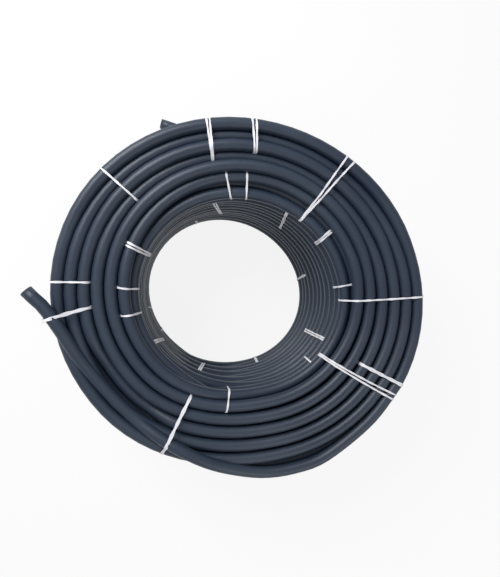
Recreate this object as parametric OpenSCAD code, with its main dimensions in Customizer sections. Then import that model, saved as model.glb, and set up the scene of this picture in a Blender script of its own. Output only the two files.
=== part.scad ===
// A 100 m roll of soaker hose: one hose wound into a coil, its two open ends, and the tape ties
// that hold its turns together. Millimetres, Z up, the coil's axis at the origin, the floor at Z = 0.

/* [Hose] */
// Outside diameter of the hose
hose_od = 16; // [14:0.5:18]
// Thickness of the hose's wall
hose_wall = 2; // [1:0.25:3]
// Length of each hose end that shows its bore
end_length = 30; // [20:5:60]

/* [Coil] */
// Outside diameter of the winding
coil_od = 496; // [480:4:540]
// Rows of turns from the floor to the top
rows = 12; // [12:1:16]
// Turns side by side in the top row
top_turns = 6; // [6:1:7]
// How far two neighbouring turns press into each other
turn_press = 0.4; // [0.2:0.1:0.8]
// How much further in each row starts than the row above it
wall_lean = 2.1; // [0.5:0.2:3.1]
// How far the bottom turns flatten where they stand on the floor
floor_flat = 0.3; // [0.2:0.1:0.6]

/* [Ends] */
// Direction round the coil at which the top run leaves its turn
top_leave_angle = 276; // [272:1:280]
// Direction round the coil at which the bottom run leaves its turn
bottom_leave_angle = 74; // [70:1:78]
// Space between a run of hose and the turns that it lies on
lay_gap = 0.3; // [0.2:0.05:0.5]

/* [Ties] */
// Thickness of the tie tape
tape_thickness = 0.6; // [0.4:0.1:0.8]
// Width of a wide tape
wide_tape = 4; // [3:0.5:5]
// Width of a narrow tape, and of each strand of a double one
narrow_tape = 2.4; // [1.6:0.2:3]
// Space between the two strands of a double tie
strand_space = 1.6; // [1:0.2:2.4]
// Space between the tape and the hose under it
tape_gap = 0.3; // [0.2:0.05:0.4]
// Radius of a tie's knot
knot_r = 2.4; // [2.2:0.1:3]
// Length of each tape end left at a knot
tape_end = 14; // [8:1:20]

/* [Hidden] */
$fn = 64;

hose_r = hose_od / 2;
pitch = hose_od - turn_press;
outer_r = coil_od / 2 - hose_r;
last_row = rows - 1;
last_turn = top_turns - 1;
coil_top = row_z(0) + hose_r;
lay_z = coil_top + lay_gap + hose_r;

// Rows count from 0 at the top, and turns from 0 at the outside.
function row_z(row) = hose_r - floor_flat + (last_row - row) * pitch;
function turn_r(turn) = outer_r - turn * pitch;
function inner_r(row) = turn_r(last_turn) - row * wall_lean;
function unit(v) = v / norm(v);
function at_angle(radius, angle, z) = [radius * cos(angle), radius * sin(angle), z];

// The free runs of hose, from the turn that each one leaves to its open end. The top run's third
// number is how far it has climbed: 0 in the top row, 1 lying on it.
top_points = [
  [-18, -226, 0.4], [-56, -210, 0.85], [-92, -190, 0.9], [-123, -171, 0.5], [-151, -150, 0],
  [-176, -123, 0], [-198, -94, 0.15], [-219, -62, 0.5], [-237, -27, 0.9], [-254, 1, 1]
];
top_end_heading = 133;
bottom_points = [[28, 242], [-10, 253], [-50, 265], [-93, 278]];
bottom_end_heading = 164;

function climb_z(share) = row_z(0) + share * (lay_z - row_z(0));
top_route = concat(
  [at_angle(outer_r, top_leave_angle, row_z(0))],
  [for (p = top_points) [p.x, p.y, climb_z(p.z)]]
);
bottom_route = concat(
  [at_angle(outer_r, bottom_leave_angle, hose_r)],
  [for (p = bottom_points) [p.x, p.y, hose_r]]
);
top_end_axis = at_angle(1, top_end_heading, 0);
bottom_end_axis = at_angle(1, bottom_end_heading, 0);

// Where the top run passes through the upright plane at this angle, as radius and height, and the
// radius of its slanted section there.
function run_at(angle) = [
  for (i = [0 : len(top_route) - 2])
    let (
      side = [-sin(angle), cos(angle), 0],
      step = top_route[i + 1] - top_route[i],
      share = -(top_route[i] * side) / (step * side),
      here = top_route[i] + share * step
    )
    if (share >= 0 && share < 1)
      [norm([here.x, here.y]), here.z, hose_r * norm(step) / abs(step * side)]
][0];

// ---- the ties' places ----

single = 1;
double = 2;

// Each rim tie: its angle, the last row and the last turn that it holds, its strands, their width,
// and whether the top run passes under it.
rim_ties = [
  [1.5, 1, last_turn, single, narrow_tape, false],
  [55, 1, last_turn, double, narrow_tape, false],
  [88, 2, 2, double, narrow_tape, false],
  [103, 3, 3, double, narrow_tape, false],
  [136.5, 3, 3, single, narrow_tape, false],
  [172, 2, 2, single, narrow_tape, false],
  [181.5, 3, 2, single, wide_tape, true],
  [238.5, 3, 4, single, wide_tape, true],
  [326, 1, last_turn, double, narrow_tape, false],
  [332, 2, 3, single, wide_tape, false]
];

// Each wall tie: its angle, the first and last row that it holds, its strands and their width.
wall_ties = [
  [9, 1, 2, single, narrow_tape],
  [39, 1, 2, double, narrow_tape],
  [62, 2, 6, single, wide_tape],
  [90, 0, 1, single, narrow_tape],
  [98, 0, 1, single, narrow_tape],
  [103.5, 3, 8, double, narrow_tape],
  [153, 0, 4, double, narrow_tape],
  [171.5, 0, 1, single, narrow_tape],
  [184, 0, 1, single, narrow_tape],
  [187.5, 8, 10, single, narrow_tape],
  [206, 2, 7, double, narrow_tape],
  [242, 6, 8, double, narrow_tape],
  [258.5, 0, 2, single, narrow_tape],
  [317.5, 2, 3, single, narrow_tape],
  [334, 3, 7, double, narrow_tape]
];
wall_tie_turns = 2;

// Each foot tie: its angle and how many rows it holds above the floor.
foot_ties = [[13.5, 3], [118, 2], [205, 2], [287.5, 2]];

// ---- a tie's loop ----

// A loop is a list of [corner, reach] in the upright plane through the axis, anticlockwise round
// the turns that it holds. A corner is the centre of a turn, and the reach is the distance from
// the line between two corners to the tape's inner face on the side that follows the first.
over = hose_r + tape_gap;                // on turns that show
between = (pitch - tape_thickness) / 2;  // between two turns or two rows
under = row_z(last_row) - tape_thickness; // under the bottom row, on the floor
arc_steps = 5;
arc_grow = 1 / cos(45 / arc_steps);      // keeps the corners' chords outside their arc

function side_angle(a, b) = atan2(b.y - a.y, b.x - a.x) - 90;

function normal(a, b) = [cos(side_angle(a, b)), sin(side_angle(a, b))];

// Round a turn that shows the tape bends along an arc, and inside the winding it has a corner.
function corner_points(before, here, after, grow) =
  before[1] < over && here[1] < over
    ? [square_corner(before, here, after, grow)]
    : corner_arc(before, here, after, grow);

function square_corner(before, here, after, grow) =
  let (
    n_in = normal(before[0], here[0]),
    n_out = normal(here[0], after[0]),
    c = n_in * n_out,
    reach_in = before[1] + grow,
    reach_out = here[1] + grow
  )
  here[0] + ((reach_in - reach_out * c) * n_in + (reach_out - reach_in * c) * n_out) / (1 - c * c);

function corner_arc(before, here, after, grow) =
  let (
    reach_in = before[1] + grow,
    reach_out = here[1] + grow,
    r = max(reach_in, reach_out) * arc_grow,
    angle_in = side_angle(before[0], here[0]),
    turned = side_angle(here[0], after[0]) - angle_in,
    a0 = angle_in + acos(reach_in / r),
    a1 = angle_in + (turned < 0 ? turned + 360 : turned) - acos(reach_out / r)
  )
  [for (i = [0 : arc_steps])
    let (a = a0 + (a1 - a0) * i / arc_steps)
    here[0] + r * [cos(a), sin(a)]];

function loop_outline(loop, grow) = [
  for (i = [0 : len(loop) - 1])
    let (n = len(loop))
    each corner_points(loop[(i + n - 1) % n], loop[i], loop[(i + 1) % n], grow)
];

function rim_loop(tie) =
  let (
    low = row_z(tie[1]),
    whole = tie[2] == last_turn,
    inner_top = whole ? inner_r(0) : turn_r(tie[2]),
    inner_low = whole ? inner_r(tie[1]) : turn_r(tie[2]),
    run = run_at(tie[0]),
    cover = tie[5] ? run[2] + tape_gap : over,
    hump = tie[5] ? [[[run[0], run[1]], cover]] : [],
    rim = tie[5] && run[0] > outer_r ? [] : [[[outer_r, row_z(0)], cover]]
  )
  concat(
    [[[inner_low, low], between], [[outer_r, low], cover]],
    rim,
    hump,
    [[[inner_top, row_z(0)], whole ? over : between]]
  );

function wall_loop(tie) =
  let (back = wall_tie_turns * pitch - pitch)
  [
    [[inner_r(tie[2]), row_z(tie[2])], between],
    [[inner_r(tie[2]) + back, row_z(tie[2])], between],
    [[inner_r(tie[1]) + back, row_z(tie[1])], tie[1] == 0 ? over : between],
    [[inner_r(tie[1]), row_z(tie[1])], over]
  ];

function foot_loop(tie) =
  let (first = rows - tie[1])
  [
    [[inner_r(last_row), row_z(last_row)], under],
    [[outer_r, row_z(last_row)], over],
    [[outer_r, row_z(first)], between],
    [[inner_r(first), row_z(first)], over]
  ];

module in_plane(angle, width) {
  rotate([90, 0, angle]) linear_extrude(height = width, center = true) children();
}

// One strand of tape round its turns.
module strand(loop, angle, width) {
  in_plane(angle, width) difference() {
    polygon(loop_outline(loop, tape_thickness));
    polygon(loop_outline(loop, 0));
  }
}

module strands(loop, angle, count, width) {
  shift = (width + strand_space) / 2;
  rotate(angle) {
    if (count == single) strand(loop, 0, width);
    if (count == double) for (side = [-1, 1]) translate([0, side * shift, 0]) strand(loop, 0, width);
  }
}

// The room that a tie's tape takes where it runs inside the winding.
slot_gap = tape_gap;

// The straight strip of tape on one side of a loop, with a margin round it and this far past its
// corners.
module side_strip(loop, side, margin, past) {
  a = loop[side][0];
  b = loop[(side + 1) % len(loop)][0];
  translate(a) rotate(side_angle(a, b) + 90)
    translate([-past, -loop[side][1] - tape_thickness - margin])
      square([norm(b - a) + 2 * past, tape_thickness + 2 * margin]);
}

function whole_width(count, width) = count * width + (count - 1) * strand_space;

module slot(loop, angle, count, width) {
  in_plane(angle, whole_width(count, width) + 2 * slot_gap)
    for (i = [0 : len(loop) - 1])
      if (loop[i][1] < over) side_strip(loop, i, slot_gap, loop[i][1] + tape_thickness + slot_gap);
}

// The knot on the outer wall, with the two cut ends of the tape.
module knot(angle, row, reach, width) {
  rotate(angle) translate([outer_r + reach + knot_r + 0.1, 0, row_z(row)]) {
    sphere(r = knot_r, $fn = 32);
    for (lean = [-28, 22])
      rotate([lean, 0, 0])
        translate([-tape_thickness / 2, -width / 2, -tape_end])
          cube([tape_thickness, width, tape_end]);
  }
}

// ---- the winding ----

bottom_steps = ceil((outer_r - inner_r(last_row)) / pitch);
bottom_pitch = (outer_r - inner_r(last_row)) / bottom_steps;

module turn(radius, z) {
  translate([radius, z]) circle(r = hose_r);
}

// Half the winding's section: the turns that show, round a core that stands for the turns inside.
module winding_section() {
  difference() {
    union() {
      polygon([
        [outer_r, row_z(0)], [inner_r(0), row_z(0)],
        [inner_r(last_row), row_z(last_row)], [outer_r, row_z(last_row)]
      ]);
      for (row = [0 : last_row]) {
        turn(outer_r, row_z(row));
        turn(inner_r(row), row_z(row));
      }
      for (t = [1 : last_turn - 1]) turn(turn_r(t), row_z(0));
      for (t = [1 : bottom_steps - 1]) turn(outer_r - t * bottom_pitch, row_z(last_row));
    }
    translate([0, -hose_od]) square([coil_od, hose_od]);
  }
}

// The room round one straight stretch of a run, open above or below.
room = hose_r + lay_gap;
bend_room = hose_r / 2;

module stretch_room(a, b, first, opens_up) {
  step = b - a;
  start = first ? 0 : bend_room;
  rotate_to = [0, -asin(step.z / norm(step)), atan2(step.y, step.x)];
  translate(a) rotate(rotate_to)
    translate([-start, -room, opens_up ? -room : -hose_od])
      cube([start + norm(step) + bend_room, 2 * room, hose_od + room + lay_gap]);
}

module top_run_rooms() {
  for (i = [0 : len(top_route) - 3]) stretch_room(top_route[i], top_route[i + 1], i == 0, true);
}

// The bottom run lies straight until it is clear of the winding.
module bottom_run_room() {
  stretch_room(bottom_route[0], bottom_route[3], true, false);
}

module hose_coil() {
  color([0.16, 0.19, 0.24]) difference() {
    rotate_extrude($fn = 180) winding_section();
    top_run_rooms();
    bottom_run_room();
    for (t = rim_ties) slot(rim_loop(t), t[0], t[3], t[4]);
    for (t = wall_ties) slot(wall_loop(t), t[0], t[3], t[4]);
    for (t = foot_ties) slot(foot_loop(t), t[0], single, wide_tape);
  }
}

// ---- the free runs and ends of the hose ----

run_sides = 12;

// The ring of points round the hose at p, in the plane across this direction.
function ring(p, along) =
  let (
    across = unit([-along.y, along.x, 0]),
    up = cross(along, across)
  )
  [for (k = [0 : run_sides - 1])
    p + hose_r * (cos(360 * k / run_sides) * across + sin(360 * k / run_sides) * up)];

function run_rings(route, end_axis) = [
  for (i = [0 : len(route) - 1])
    let (
      last = len(route) - 1,
      into = i == 0 ? unit(route[1] - route[0]) : unit(route[i] - route[i - 1]),
      out = i == last ? end_axis : unit(route[min(i + 1, last)] - route[i])
    )
    each ring(route[i], i == last ? end_axis : unit(into + out))
];

module run(route, end_axis) {
  n = run_sides;
  count = len(route);
  polyhedron(
    points = run_rings(route, end_axis),
    faces = concat(
      [[for (k = [0 : n - 1]) n - 1 - k]],
      [[for (k = [0 : n - 1]) (count - 1) * n + k]],
      [for (i = [0 : count - 2]) for (k = [0 : n - 1])
        [i * n + k, i * n + (k + 1) % n, (i + 1) * n + (k + 1) % n]],
      [for (i = [0 : count - 2]) for (k = [0 : n - 1])
        [i * n + k, (i + 1) * n + (k + 1) % n, (i + 1) * n + k]]
    )
  );
}

// An open end of the hose, from this point along this axis.
module open_end(start, axis) {
  translate(start) rotate([0, acos(axis.z), atan2(axis.y, axis.x)]) difference() {
    cylinder(r = hose_r, h = end_length);
    translate([0, 0, -1]) cylinder(r = hose_r - hose_wall, h = end_length + 2);
  }
}

module hose_top_run() {
  color([0.17, 0.2, 0.26]) run(top_route, top_end_axis);
}

module hose_bottom_run() {
  color([0.17, 0.2, 0.26]) run(bottom_route, bottom_end_axis);
}

module hose_top_end() {
  color([0.17, 0.2, 0.26]) open_end(top_route[len(top_route) - 1], top_end_axis);
}

module hose_bottom_end() {
  color([0.17, 0.2, 0.26]) open_end(bottom_route[len(bottom_route) - 1], bottom_end_axis);
}

// ---- the ties ----

module rim_tie(number) {
  tie = rim_ties[number - 1];
  color([0.85, 0.85, 0.9]) union() {
    strands(rim_loop(tie), tie[0], tie[3], tie[4]);
    knot(tie[0], tie[1], rim_loop(tie)[1][1], narrow_tape);
  }
}

module wall_tie(number) {
  tie = wall_ties[number - 1];
  loop = wall_loop(tie);
  back = 1; // the side between the turns, where the strands of a double tie are one tape
  color([0.85, 0.85, 0.9]) union() {
    strands(loop, tie[0], tie[3], tie[4]);
    if (tie[3] == double)
      in_plane(tie[0], whole_width(double, tie[4])) side_strip(loop, back, 0, 0);
  }
}

module foot_tie(number) {
  tie = foot_ties[number - 1];
  color([0.85, 0.85, 0.9]) union() {
    strands(foot_loop(tie), tie[0], single, wide_tape);
    knot(tie[0], last_row - 1, over, narrow_tape);
  }
}

hose_coil();
hose_top_run();
hose_bottom_run();
hose_top_end();
hose_bottom_end();
for (n = [1 : len(rim_ties)]) rim_tie(n);
for (n = [1 : len(wall_ties)]) wall_tie(n);
for (n = [1 : len(foot_ties)]) foot_tie(n);
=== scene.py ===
import math

import bpy
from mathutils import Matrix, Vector


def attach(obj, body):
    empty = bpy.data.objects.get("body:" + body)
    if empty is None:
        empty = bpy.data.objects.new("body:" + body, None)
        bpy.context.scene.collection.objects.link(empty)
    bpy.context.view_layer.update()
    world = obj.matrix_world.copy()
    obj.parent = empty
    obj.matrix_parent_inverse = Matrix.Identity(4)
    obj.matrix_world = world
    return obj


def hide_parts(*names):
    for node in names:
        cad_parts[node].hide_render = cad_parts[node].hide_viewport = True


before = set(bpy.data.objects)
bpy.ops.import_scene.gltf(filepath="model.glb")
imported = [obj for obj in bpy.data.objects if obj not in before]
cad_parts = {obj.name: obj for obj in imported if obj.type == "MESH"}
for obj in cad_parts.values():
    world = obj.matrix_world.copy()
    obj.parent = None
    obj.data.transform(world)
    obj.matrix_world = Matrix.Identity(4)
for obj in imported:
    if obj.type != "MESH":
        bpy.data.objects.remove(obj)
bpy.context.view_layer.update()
print("frame loaded")

# Camera.

camera = {
    "place": (-0.0747, 0.0619, 0.7353),
    "turn": (-4.1, -8.03, 0.0),  # degrees, so it looks almost straight down
    "lens": 26.0,
}


def makeCamera():
    data = bpy.data.cameras.new("camera")
    data.lens = camera["lens"]
    data.sensor_width = 36.0
    view = bpy.data.objects.new("camera", data)
    view.location = camera["place"]
    view.rotation_euler = [math.radians(a) for a in camera["turn"]]
    bpy.context.collection.objects.link(view)
    bpy.context.scene.camera = view


makeCamera()

# The hose's way through the roll.

# Turns are numbered from 0 at the outside, rows from 0 at the top. Metres and degrees.
roll = {
    "hose": 0.016,
    "bore": 0.012,
    "squeeze": 0.0004,      # how far two rows press into each other
    "floorFlat": 0.0003,
    "rows": 12,
    "topTurns": 6,
    "lowerTurns": 7,
    "outer": (0.2395, 0.009, 152),       # radius, oval by, oval towards
    "outerShift": (0.0025, 60),          # shifted by, towards
    "topInner": (0.156, 0.004, 155),
    "topInnerShift": (0.017, 95),
    "secondInner": (0.143, 0.006, 155),
    "secondInnerShift": (0.012, 110),
    "lowInner": (0.1357, 0.0055, 155),
    "lowInnerShift": (0.0143, 168),
    "stepFrom": 285,        # each turn moves in or out by one place between these two directions
    "stepTo": 215,
    "topLeave": 306,        # where the top end leaves the last turn
    "bottomLeave": 74,
    "dipFrom": 242,         # where turns dip to let the top end lie between them
    "dipTo": 188,
    "dipTurn": 2,
    "dipRows": 6,
    "dipEase": 1.6,
    "pointsPerTurn": 72,
    "spacing": 0.012,       # between the free ends' points
    "waveOut": 0.0006,      # how far the turns wander sideways and up
    "waveUp": 0.0004,
}

hoseRadius = roll["hose"] / 2
rowPitch = roll["hose"] - roll["squeeze"]
lastRow = roll["rows"] - 1


def cosDeg(a):
    return math.cos(math.radians(a))


def sinDeg(a):
    return math.sin(math.radians(a))


def smooth(x):
    x = min(1.0, max(0.0, x))
    return x * x * (3 - 2 * x)


def mix(a, b, share):
    return a + (b - a) * share


def rowHeight(row):
    return hoseRadius - roll["floorFlat"] + (lastRow - row) * rowPitch


def ovalRadius(shape, shift, angle):
    radius, ovalBy, ovalAt = shape
    shiftBy, shiftAt = shift
    return radius + ovalBy * cosDeg(2 * (angle - ovalAt)) + shiftBy * cosDeg(angle - shiftAt)


def outerRadius(angle):
    return ovalRadius(roll["outer"], roll["outerShift"], angle)


def innerRadius(row, angle):
    if row == 0:
        return ovalRadius(roll["topInner"], roll["topInnerShift"], angle)
    second = ovalRadius(roll["secondInner"], roll["secondInnerShift"], angle)
    low = ovalRadius(roll["lowInner"], roll["lowInnerShift"], angle)
    return mix(second, low, (row - 1) / (lastRow - 1))


def turnsIn(row):
    return roll["topTurns"] if row == 0 else roll["lowerTurns"]


def turnGap(row, angle):
    return (outerRadius(angle) - innerRadius(row, angle)) / (turnsIn(row) - 1)


# How far a turn sinks to make room for the top end.
def dip(row, turn, angle):
    middle = (roll["dipFrom"] + roll["dipTo"]) / 2
    half = (roll["dipFrom"] - roll["dipTo"]) / 2
    away = abs(angle - middle) / half
    beside = max(0.0, 1 - abs(turn - roll["dipTurn"]))
    depth = max(0.0, 1 - row / roll["dipRows"])
    return roll["hose"] * smooth(roll["dipEase"] * (1 - away)) * beside * depth


# Radius and height of the hose's centre at this row, turn and direction.
def place(row, turn, angle):
    angle = angle % 360
    gap = turnGap(row, angle)
    ride = math.sqrt(max(0.0, roll["hose"] ** 2 - gap ** 2)) / 2
    fade = 1 - row / lastRow
    radius = outerRadius(angle) - turn * gap
    height = rowHeight(row) + ride * fade * math.cos(math.pi * turn)
    height -= dip(row, turn, angle)
    wave = roll["waveOut"] * sinDeg(2 * angle + 50 * turn + 80 * row)
    return radius + wave, height + fade * roll["waveUp"] * sinDeg(3 * angle + 70 * turn)


def at(radius, angle, height):
    return Vector((radius * cosDeg(angle), radius * sinDeg(angle), height))


# Each full turn's row and place in it, from the bottom row's outside to the top row's.
def stations():
    found = []
    for row in range(lastRow, -1, -1):
        inward = (lastRow - row) % 2 == 0
        turns = range(turnsIn(row))
        found += [(row, t) for t in (turns if inward else reversed(turns))]
    return found


# The wound part of the hose, from the bottom outside to the top outside.
def windingPoints():
    places = stations()
    stepMiddle = (roll["stepFrom"] + roll["stepTo"]) / 2
    halfStep = (roll["stepFrom"] - roll["stepTo"]) / 2
    perTurn = roll["pointsPerTurn"]
    # travelled is counted in turns from the middle of the step before the first place
    start = (stepMiddle - roll["bottomLeave"]) / 360
    end = len(places) - 1 + (stepMiddle + 360 - roll["topLeave"]) / 360
    count = round((end - start) * perTurn)
    points = []
    for i in range(count + 1):
        travelled = start + (end - start) * i / count
        index = min(len(places) - 1, int(travelled))
        share = travelled - index
        angle = (stepMiddle - 360 * share) % 360
        here = place(*places[index], angle)
        # near the middle of the step the hose is halfway to the next or the last place
        fromMiddle = 360 * min(share, 1 - share)
        if fromMiddle < halfStep:
            after = share > 0.5
            other = index + 1 if after else index - 1
            if 0 <= other < len(places):
                there = place(*places[other], angle)
                blend = smooth((halfStep - fromMiddle) / (2 * halfStep))
                here = (mix(here[0], there[0], blend), mix(here[1], there[1], blend))
        points.append(at(here[0], angle, here[1]))
    return points


# The free ends: x, y and how far the end has climbed onto the turns. From its fourth point on, the
# top end goes where the construction has it, and before that it eases out of the last turn. The
# last two points of the top end and the last one of the bottom end lie in the open end.
freeEnds = {
    "top": [
        (0.113, -0.2185, 0), (0.069, -0.233, 0), (0.0251, -0.2365, 0),
        (-0.018, -0.226, 0.4), (-0.056, -0.21, 0.85), (-0.092, -0.19, 0.9),
        (-0.123, -0.171, 0.5), (-0.151, -0.15, 0), (-0.176, -0.123, 0), (-0.198, -0.094, 0.15),
        (-0.219, -0.062, 0.5), (-0.237, -0.027, 0.9), (-0.254, 0.001, 1), (-0.2645, 0.012, 1),
        (-0.2745, 0.0229, 1),
    ],
    "climb": 0.0163,
    "bottom": [
        (0.028, 0.242), (-0.01, 0.253), (-0.05, 0.265), (-0.093, 0.278), (-0.1218, 0.2863),
    ],
    "depth": 0.05,          # how deep the open bore is modelled
}


def topEndPoints():
    return [Vector((x, y, rowHeight(0) + share * freeEnds["climb"])) for x, y, share in freeEnds["top"]]


def bottomEndPoints():
    return [Vector((x, y, hoseRadius)) for x, y in freeEnds["bottom"]]


curveSteps = 12


# Points at an even spacing along a smooth curve through these.
def smoothLine(knots, spacing):
    fine = []
    for i in range(len(knots) - 1):
        a, b = knots[max(i - 1, 0)], knots[i]
        c, d = knots[i + 1], knots[min(i + 2, len(knots) - 1)]
        ta, tb = (c - a) / 2, (d - b) / 2
        for k in range(curveSteps):
            s = k / curveSteps
            fine.append(
                b * (1 + 2 * s) * (1 - s) ** 2 + ta * s * (1 - s) ** 2
                + c * s * s * (3 - 2 * s) + tb * s * s * (s - 1)
            )
    fine.append(knots[-1])
    return evenly(fine, spacing)


def evenly(line, spacing):
    total = sum((b - a).length for a, b in zip(line, line[1:]))
    count = max(2, round(total / spacing))
    step = total / count
    found, walked, due = [line[0]], 0.0, step
    for a, b in zip(line, line[1:]):
        length = (b - a).length
        while walked + length >= due and len(found) < count:
            found.append(a.lerp(b, (due - walked) / length))
            due += step
        walked += length
    found.append(line[-1])
    return found


def lineLength(points):
    return sum((b - a).length for a, b in zip(points, points[1:]))


def wholeHose():
    wound = windingPoints()
    lead = 6                # wound points that the free ends' curves start from
    spacing = roll["spacing"]
    bottom = smoothLine(list(reversed(bottomEndPoints())) + wound[:lead:3], spacing)
    top = smoothLine(wound[-lead::3] + topEndPoints(), spacing)
    return bottom + wound[lead:-lead] + top


# A tube round these points, hollow at its last one.
def hoseTube(name, points, sides):
    rings = []
    side = None
    for i, p in enumerate(points):
        along = (points[min(i + 1, len(points) - 1)] - points[max(i - 1, 0)]).normalized()
        if side is None:
            side = along.orthogonal()
        side = (side - along * side.dot(along)).normalized()
        rings.append((p, side.copy(), along.cross(side), hoseRadius))
    depth = round(freeEnds["depth"] / roll["spacing"])
    inside = [(p, a, b, roll["bore"] / 2) for p, a, b, _ in rings[-1:-depth - 1:-1]]
    verts, faces = [], []
    for p, a, b, r in rings + inside:
        for k in range(sides):
            turn = 2 * math.pi * k / sides
            verts.append(p + r * (math.cos(turn) * a + math.sin(turn) * b))
    for i in range(len(rings) + len(inside) - 1):
        for k in range(sides):
            n = (k + 1) % sides
            faces.append((i * sides + k, i * sides + n, (i + 1) * sides + n, (i + 1) * sides + k))
    faces.append(tuple(reversed(range(sides))))
    last = (len(rings) + len(inside) - 1) * sides
    faces.append(tuple(last + k for k in range(sides)))
    mesh = bpy.data.meshes.new(name)
    mesh.from_pydata(verts, [], faces)
    mesh.update()
    for polygon in mesh.polygons:
        polygon.use_smooth = True
    piece = bpy.data.objects.new(name, mesh)
    bpy.context.collection.objects.link(piece)
    return piece


hoseSides = 16
hosePath = wholeHose()
middle = len(hosePath) // 2
upperPath = hosePath[middle:]
lowerPath = list(reversed(hosePath[:middle + 1]))
upperHose = hoseTube("hose_upper_half", upperPath, hoseSides)
lowerHose = hoseTube("hose_lower_half", lowerPath, hoseSides)
print("hose wound", round(lineLength(upperPath), 2), round(lineLength(lowerPath), 2))

for piece, path, nodes in (
    (upperHose, upperPath, ["hose_coil", "hose_top_run", "hose_top_end"]),
    (lowerHose, lowerPath, ["hose_bottom_run", "hose_bottom_end"]),
):
    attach(piece, "root")
    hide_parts(*nodes)

# Tape ties.

tape = {
    "thick": 0.00035,
    "clear": 0.0002,        # between the tape and the hose under it
    "narrow": 0.0025,
    "wide": 0.0042,
    "pointSpacing": 0.0025,
    "knot": 0.0021,
    "loose": 0.013,         # length of each end at a knot
    "looseEnds": ((-26, 0.9), (20, 1.0)),   # how each end leans, and its share of that length
    "quickWave": 0.16,      # how much the width changes along the tape
    "slowWave": 0.1,
    "curl": 0.0002,
    "lowest": -0.0003,
    "footReach": 0.262,     # radius within which a foot tie holds the turns
}

# A rim tie holds the top rows down to one row and the outer turns up to one turn. Each strand has
# its direction at the outer wall and at its inner end.
rimTies = [
    (1, 5, "narrow", [(1.8, 1.1)]),
    (1, 5, "narrow", [(53.0, 56.5), (56.0, 57.1)]),
    (2, 2, "narrow", [(87.5, 86.8), (88.8, 87.6)]),
    (3, 3, "narrow", [(101.6, 103.5), (102.6, 103.9)]),
    (3, 3, "narrow", [(136.7, 136.2)]),
    (2, 2, "narrow", [(172.6, 171.1)]),
    (3, 2, "wide", [(183.3, 180.0)]),
    (3, 4, "wide", [(239.7, 237.7)]),
    (1, 5, "narrow", [(326.5, 324.3), (328.2, 325.4)]),
    (2, 3, "wide", [(331.9, 331.8)]),
]

# A wall tie holds the inner two turns from one row down to another. Each strand has its direction
# at its top and at its foot.
wallTies = [
    (1, 2, "narrow", [(9.6, 8.2)]),
    (1, 2, "narrow", [(39.6, 37.6), (40.8, 38.9)]),
    (2, 6, "wide", [(65.0, 59.0)]),
    (0, 1, "narrow", [(90.2, 89.8)]),
    (0, 1, "narrow", [(99.3, 96.8)]),
    (3, 8, "narrow", [(105.8, 99.9), (107.2, 100.8)]),
    (0, 4, "narrow", [(151.8, 152.9), (153.2, 153.8)]),
    (0, 1, "narrow", [(171.6, 171.2)]),
    (0, 1, "narrow", [(184.2, 183.8)]),
    (8, 10, "narrow", [(186.0, 188.7)]),
    (2, 7, "narrow", [(201.9, 208.8), (203.3, 210.1)]),
    (6, 8, "narrow", [(239.4, 243.4), (240.8, 244.9)]),
    (0, 2, "narrow", [(258.6, 258.6)]),
    (2, 3, "narrow", [(317.5, 317.4)]),
    (3, 7, "narrow", [(333.6, 332.3), (335.0, 333.9)]),
]

# A foot tie holds the lowest rows from this one down, right across the roll.
footTies = [(9, 16.2, 11.5), (10, 118.0, 118.0), (10, 205.0, 205.0), (10, 287.6, 287.4)]


# Radius and height of every turn of the hose where it passes this direction.
def turnsAt(angle):
    across = Vector((-sinDeg(angle), cosDeg(angle), 0))
    outward = Vector((cosDeg(angle), sinDeg(angle), 0))
    found = []
    for a, b in zip(hosePath, hosePath[1:]):
        before, after = a.dot(across), b.dot(across)
        if before * after <= 0 and before != after and a.dot(outward) > 0:
            here = a.lerp(b, before / (before - after))
            found.append((here.dot(outward), here.z))
    return found


dotsRound = 24


# The outline of a tape pulled tight round these turns.
def tautLoop(turns):
    reach = hoseRadius + tape["clear"]
    dots = []
    for radius, height in turns:
        for k in range(dotsRound):
            angle = 360 * k / dotsRound
            dots.append((radius + reach * cosDeg(angle), height + reach * sinDeg(angle)))
    dots.sort()
    line = []
    for way in (dots, dots[::-1]):
        half = []
        for p in way:
            while len(half) > 1 and cross(half[-2], half[-1], p) <= 0:
                half.pop()
            half.append(p)
        line += half[:-1]
    return line


def cross(a, b, c):
    return (b[0] - a[0]) * (c[1] - a[1]) - (b[1] - a[1]) * (c[0] - a[0])


# Corners and faces of one closed strand of tape.
def strandMesh(loop, angleAt, width, seed):
    line = []
    for a, b in zip(loop, loop[1:] + loop[:1]):
        steps = max(1, math.ceil(math.dist(a, b) / tape["pointSpacing"]))
        line += [(mix(a[0], b[0], k / steps), mix(a[1], b[1], k / steps)) for k in range(steps)]
    verts, faces = [], []
    count = len(line)
    for i, (radius, height) in enumerate(line):
        before, after = line[i - 1], line[(i + 1) % count]
        dr, dz = after[0] - before[0], after[1] - before[1]
        size = math.hypot(dr, dz) or 1
        outR, outZ = dz / size, -dr / size
        angle = angleAt(radius, height)
        side = Vector((-sinDeg(angle), cosDeg(angle), 0))
        quick = tape["quickWave"] * math.sin(i * 0.9 + seed)
        slow = tape["slowWave"] * math.sin(i * 0.37 + 2 * seed)
        half = width / 2 * (1 + quick + slow)
        curl = tape["curl"] * math.sin(i * 0.5 + seed)
        for edge, lift in ((-1, 0), (1, 0), (1, 1), (-1, 1)):
            out = lift * tape["thick"] + abs(curl) + edge * curl
            middle = at(radius + outR * out, angle, max(height + outZ * out, tape["lowest"]))
            verts.append(middle + side * edge * half)
    for i in range(count):
        j = (i + 1) % count
        for k in range(4):
            n = (k + 1) % 4
            faces.append((4 * i + k, 4 * i + n, 4 * j + n, 4 * j + k))
    return verts, faces


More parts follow.
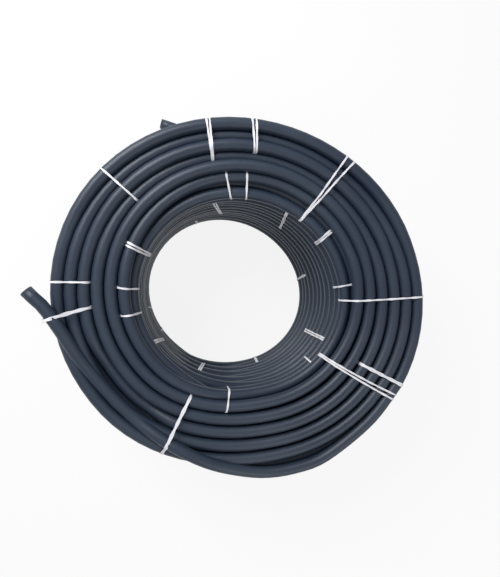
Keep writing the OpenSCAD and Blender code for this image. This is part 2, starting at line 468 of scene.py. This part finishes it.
def makeTape(name, strands, knots):
    verts, faces = [], []
    for strandVerts, strandFaces in strands:
        first = len(verts)
        verts += strandVerts
        faces += [tuple(first + k for k in face) for face in strandFaces]
    mesh = bpy.data.meshes.new(name)
    mesh.from_pydata(verts, [], faces)
    mesh.update()
    piece = bpy.data.objects.new(name, mesh)
    bpy.context.collection.objects.link(piece)
    bpy.ops.object.select_all(action="DESELECT")
    for radius, angle, height in knots:
        bpy.ops.mesh.primitive_ico_sphere_add(
            subdivisions=3, radius=tape["knot"], location=at(radius, angle, height)
        )
        parts = [bpy.context.object]
        for lean, grow in tape["looseEnds"]:
            length = tape["loose"] * grow
            sideways = sinDeg(lean) * length / 2
            bpy.ops.mesh.primitive_cube_add(size=1, location=(0, 0, 0))
            end = bpy.context.object
            end.scale = (tape["thick"], tape["narrow"], length)
            end.rotation_euler = (math.radians(lean), 0, math.radians(angle))
            spot = at(radius, angle, height - cosDeg(lean) * length / 2)
            end.location = spot + Vector((-sinDeg(angle), cosDeg(angle), 0)) * sideways
            parts.append(end)
        for part in parts:
            part.select_set(True)
            piece.select_set(True)
        bpy.context.view_layer.objects.active = piece
        bpy.ops.object.join()
        bpy.ops.object.select_all(action="DESELECT")
    piece.select_set(True)
    bpy.context.view_layer.objects.active = piece
    bpy.ops.object.mode_set(mode="EDIT")
    bpy.ops.mesh.select_all(action="SELECT")
    bpy.ops.mesh.normals_make_consistent(inside=False)
    bpy.ops.object.mode_set(mode="OBJECT")
    bpy.ops.object.select_all(action="DESELECT")
    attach(piece, "root")
    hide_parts(name)
    return piece


def rimTie(number, lastHeld, lastTurn, kind, ends):
    strands, knots = [], []
    for k, (outerAngle, innerAngle) in enumerate(ends):
        angle = (outerAngle + innerAngle) / 2
        limit = place(0, lastTurn, angle)[0] - turnGap(0, angle) * (0.5 if lastTurn < 5 else 1.6)
        lowest = rowHeight(lastHeld) - rowPitch * 0.4
        held = [t for t in turnsAt(angle) if t[0] > limit and t[1] > lowest]
        if lastTurn == 5:
            held = [t for t in held if t[0] > innerRadius(lastHeld, angle) - 0.003]
        loop = tautLoop(held)
        inner, outer = min(p[0] for p in loop), max(p[0] for p in loop)

        def angleAt(radius, height):
            return mix(innerAngle, outerAngle, (radius - inner) / (outer - inner))

        strands.append(strandMesh(loop, angleAt, tape[kind], number + 3 * k))
        if k == 0:
            wallRadius = max(t[0] for t in held if t[1] < lowest + rowPitch) + hoseRadius
            knots.append((wallRadius + tape["knot"], outerAngle, rowHeight(lastHeld)))
    return makeTape("rim_tie_%d" % number, strands, knots)


def wallTie(number, topRow, footRow, kind, ends):
    strands = []
    for k, (topAngle, footAngle) in enumerate(ends):
        angle = (topAngle + footAngle) / 2
        high = rowHeight(topRow) + rowPitch * (0.5 if topRow else 1.2)
        low = rowHeight(footRow) - rowPitch * 0.5
        wall = innerRadius(topRow, angle) + turnGap(topRow, angle) * (1.4 if topRow else 0.5)
        held = [t for t in turnsAt(angle) if low < t[1] < high and t[0] < wall]
        loop = tautLoop(held)
        bottom, top = min(p[1] for p in loop), max(p[1] for p in loop)

        def angleAt(radius, height):
            return mix(footAngle, topAngle, (height - bottom) / (top - bottom))

        strands.append(strandMesh(loop, angleAt, tape[kind], number + 5 * k))
    return makeTape("wall_tie_%d" % number, strands, [])


def footTie(number, topRow, topAngle, footAngle):
    angle = (topAngle + footAngle) / 2
    high = rowHeight(topRow) + rowPitch * 0.5
    held = [t for t in turnsAt(angle) if t[1] < high and t[0] < tape["footReach"]]
    loop = tautLoop(held)
    top = max(p[1] for p in loop)

    def angleAt(radius, height):
        return mix(footAngle, topAngle, height / top)

    outer = max(t[0] for t in held) + hoseRadius + tape["knot"]
    knots = [(outer, mix(footAngle, topAngle, 0.7), rowHeight(lastRow - 1))]
    return makeTape("foot_tie_%d" % number, [strandMesh(loop, angleAt, tape["wide"], number)], knots)


tapePieces = [rimTie(i + 1, *tie) for i, tie in enumerate(rimTies)]
tapePieces += [wallTie(i + 1, *tie) for i, tie in enumerate(wallTies)]
tapePieces += [footTie(i + 1, *tie) for i, tie in enumerate(footTies)]
print("ties made", len(tapePieces))

# Floor and light.


def makeFloor():
    bpy.ops.mesh.primitive_plane_add(size=8, location=(0, 0, -0.0008))
    floor = bpy.context.object
    floor.name = "floor"
    paint = bpy.data.materials.new("floor")
    paint.use_nodes = True
    nodes, links = paint.node_tree.nodes, paint.node_tree.links
    shader = nodes["Principled BSDF"]
    shader.inputs["Base Color"].default_value = (0.9, 0.9, 0.9, 1)
    shader.inputs["Roughness"].default_value = 0.9
    rays = nodes.new("ShaderNodeLightPath")
    seen = nodes.new("ShaderNodeMath")
    seen.operation = "MAXIMUM"
    links.new(rays.outputs["Is Camera Ray"], seen.inputs[0])
    links.new(rays.outputs["Is Glossy Ray"], seen.inputs[1])
    alsoThrough = nodes.new("ShaderNodeMath")
    alsoThrough.operation = "MAXIMUM"
    links.new(seen.outputs[0], alsoThrough.inputs[0])
    links.new(rays.outputs["Is Transmission Ray"], alsoThrough.inputs[1])
    share = nodes.new("ShaderNodeMath")
    share.operation = "MULTIPLY"
    share.inputs[1].default_value = 0.86  # the rest keeps the roll's shadow
    links.new(alsoThrough.outputs[0], share.inputs[0])
    white = nodes.new("ShaderNodeEmission")
    white.inputs["Color"].default_value = (1, 1, 1, 1)
    blend = nodes.new("ShaderNodeMixShader")
    links.new(share.outputs[0], blend.inputs[0])
    links.new(shader.outputs[0], blend.inputs[1])
    links.new(white.outputs[0], blend.inputs[2])
    links.new(blend.outputs[0], nodes["Material Output"].inputs["Surface"])
    floor.data.materials.append(paint)


def makeLight():
    world = bpy.data.worlds.new("studio")
    bpy.context.scene.world = world
    world.use_nodes = True
    world.node_tree.nodes["Background"].inputs["Color"].default_value = (1, 1, 1, 1)
    world.node_tree.nodes["Background"].inputs["Strength"].default_value = 0.42
    for name, spot, size, energy in (
        ("window", (-0.6, 0.75, 0.9), 0.6, 13),
        ("lamp", (0.5, -0.9, 1.1), 0.9, 4),
    ):
        data = bpy.data.lights.new(name, "AREA")
        data.energy = energy
        data.size = size
        lamp = bpy.data.objects.new(name, data)
        lamp.location = spot
        aim = Vector((0, 0, 0.1)) - lamp.location
        lamp.rotation_euler = aim.to_track_quat("-Z", "Y").to_euler()
        bpy.context.collection.objects.link(lamp)


makeFloor()
makeLight()
bpy.context.scene.view_settings.view_transform = "Standard"

# Finishes.


# Fine grain and broad mottling, used by the rubber and the tape.
def grainGroup():
    group = bpy.data.node_groups.new("grain", "ShaderNodeTree")
    for name, first in (("Fine", 900.0), ("Broad", 14.0)):
        socket = group.interface.new_socket(name, in_out="INPUT", socket_type="NodeSocketFloat")
        socket.default_value = first
    for name in ("Grain", "Mottle"):
        group.interface.new_socket(name, in_out="OUTPUT", socket_type="NodeSocketFloat")
    nodes, links = group.nodes, group.links
    start = nodes.new("NodeGroupInput")
    end = nodes.new("NodeGroupOutput")
    spot = nodes.new("ShaderNodeTexCoord")
    for scaleName, outName, detail in (("Fine", "Grain", 3.0), ("Broad", "Mottle", 5.0)):
        noise = nodes.new("ShaderNodeTexNoise")
        noise.inputs["Detail"].default_value = detail
        links.new(spot.outputs["Object"], noise.inputs["Vector"])
        links.new(start.outputs[scaleName], noise.inputs["Scale"])
        links.new(noise.outputs["Fac"], end.inputs[outName])
    return group


grain = grainGroup()


def makeFinish(name, dark, light, roughLow, roughHigh, fine, broad, bump):
    paint = bpy.data.materials.new(name)
    paint.use_nodes = True
    nodes, links = paint.node_tree.nodes, paint.node_tree.links
    shader = nodes["Principled BSDF"]
    surface = nodes.new("ShaderNodeGroup")
    surface.node_tree = grain
    surface.inputs["Fine"].default_value = fine
    surface.inputs["Broad"].default_value = broad
    colour = nodes.new("ShaderNodeValToRGB")
    colour.color_ramp.elements[0].position = 0.3
    colour.color_ramp.elements[0].color = (*dark, 1)
    colour.color_ramp.elements[1].position = 0.7
    colour.color_ramp.elements[1].color = (*light, 1)
    links.new(surface.outputs["Mottle"], colour.inputs["Fac"])
    links.new(colour.outputs["Color"], shader.inputs["Base Color"])
    rough = nodes.new("ShaderNodeMapRange")
    rough.inputs["To Min"].default_value = roughLow
    rough.inputs["To Max"].default_value = roughHigh
    links.new(surface.outputs["Grain"], rough.inputs["Value"])
    links.new(rough.outputs["Result"], shader.inputs["Roughness"])
    relief = nodes.new("ShaderNodeBump")
    relief.inputs["Strength"].default_value = bump
    relief.inputs["Distance"].default_value = 0.0003
    links.new(surface.outputs["Grain"], relief.inputs["Height"])
    links.new(relief.outputs["Normal"], shader.inputs["Normal"])
    return paint


rubber = makeFinish(
    "hose_rubber", (0.017, 0.028, 0.052), (0.032, 0.047, 0.073), 0.36, 0.54, 1500.0, 9.0, 0.35
)
tapeFinish = makeFinish(
    "tie_tape", (0.74, 0.74, 0.8), (0.86, 0.86, 0.9), 0.4, 0.6, 700.0, 60.0, 0.2
)
for piece in (upperHose, lowerHose):
    piece.data.materials.append(rubber)
for piece in tapePieces:
    piece.data.materials.clear()
    piece.data.materials.append(tapeFinish)
print("finishes set")

bpy.context.view_layer.update()
